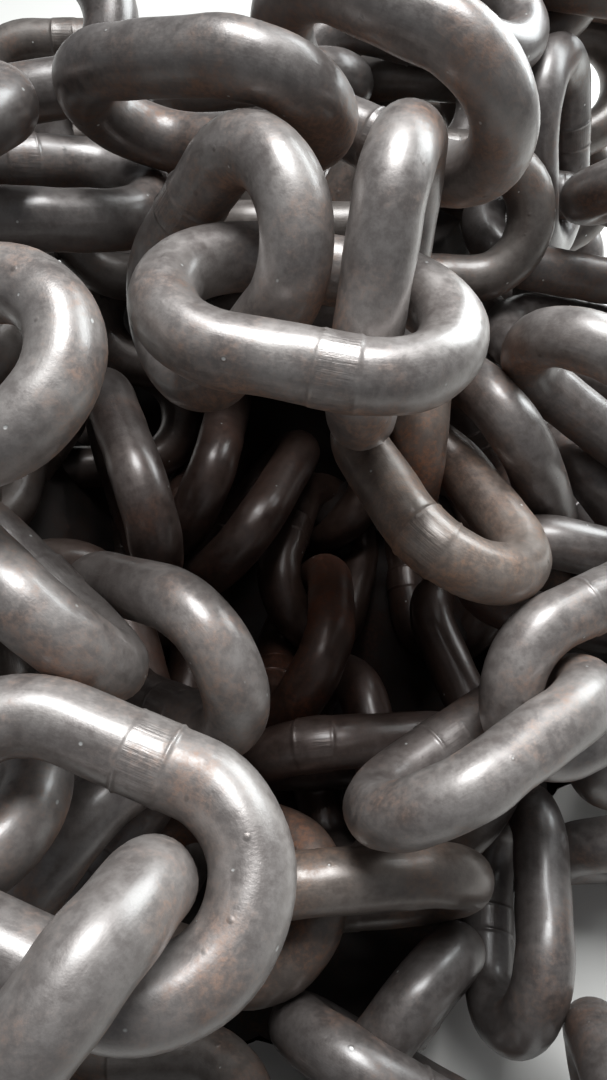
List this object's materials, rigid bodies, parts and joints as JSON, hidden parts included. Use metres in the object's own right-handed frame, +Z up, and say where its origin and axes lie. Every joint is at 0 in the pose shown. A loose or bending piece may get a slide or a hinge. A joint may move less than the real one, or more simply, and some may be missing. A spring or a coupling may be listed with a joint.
{
  "type": "heap of iron chain",
  "caption": "Mound of heavy welded short-link iron chain, some links hooked through each other and some slack, resting on a flat foot.",
  "frame": {"origin": "centre of the heap's bounding box, on the floor it rests on", "axes": "+Y along the heap's longest side, from the low front to the high back; +X across it to the right; +Z up"},
  "size_m": [0.5628, 0.7378, 0.3586],
  "materials": {
    "oiled_iron": "dark mill scale, oiled and worn to a satin grey on the high sides, with rust in the pits",
    "rusty_iron": "orange-brown rust film over dark scale",
    "buried_iron": "dark, unlit inside of the heap"
  },
  "bodies": {
    "root": {"back_foot_link_1": "oiled_iron", "back_foot_link_2": "oiled_iron", "back_foot_link_3": "oiled_iron", "back_foot_link_4": "oiled_iron", "back_foot_link_5": "oiled_iron", "back_top_link_1": "oiled_iron", "back_top_link_2": "oiled_iron", "back_top_link_3": "oiled_iron", "buried_core": "buried_iron", "crest_link_1": "oiled_iron", "crest_link_2": "oiled_iron", "crest_link_3": "oiled_iron", "crest_link_4": "oiled_iron", "crest_link_5": "oiled_iron", "crest_link_6": "rusty_iron", "far_link_1": "oiled_iron", "far_link_2": "oiled_iron", "far_link_3": "oiled_iron", "far_link_4": "oiled_iron", "far_link_5": "oiled_iron", "front_foot_link_1": "oiled_iron", "front_foot_link_2": "oiled_iron", "front_link_1": "oiled_iron", "front_link_2": "oiled_iron", "front_link_3": "oiled_iron", "front_link_4": "oiled_iron", "front_link_5": "oiled_iron", "front_link_6": "rusty_iron", "front_link_7": "oiled_iron", "front_link_8": "oiled_iron", "front_link_9": "oiled_iron", "hollow_link_1": "oiled_iron", "hollow_link_2": "oiled_iron", "hollow_link_3": "oiled_iron", "hollow_link_4": "rusty_iron", "hollow_link_5": "oiled_iron", "knoll_link_1": "oiled_iron", "knoll_link_2": "oiled_iron", "knoll_link_3": "oiled_iron", "knoll_link_4": "oiled_iron", "knoll_link_5": "oiled_iron", "left_flank_link_1": "oiled_iron", "left_flank_link_2": "oiled_iron", "left_flank_link_3": "oiled_iron", "left_flank_link_4": "oiled_iron", "left_flank_link_5": "oiled_iron", "left_link_1": "oiled_iron", "left_link_2": "oiled_iron", "left_link_3": "oiled_iron", "left_link_4": "oiled_iron", "left_link_5": "oiled_iron", "loose_end_link_1": "oiled_iron", "right_link_1": "oiled_iron", "right_link_2": "oiled_iron", "right_link_3": "oiled_iron", "right_link_4": "oiled_iron", "right_link_5": "oiled_iron", "right_link_6": "oiled_iron", "right_link_7": "oiled_iron"}
  },
  "joints": []
}
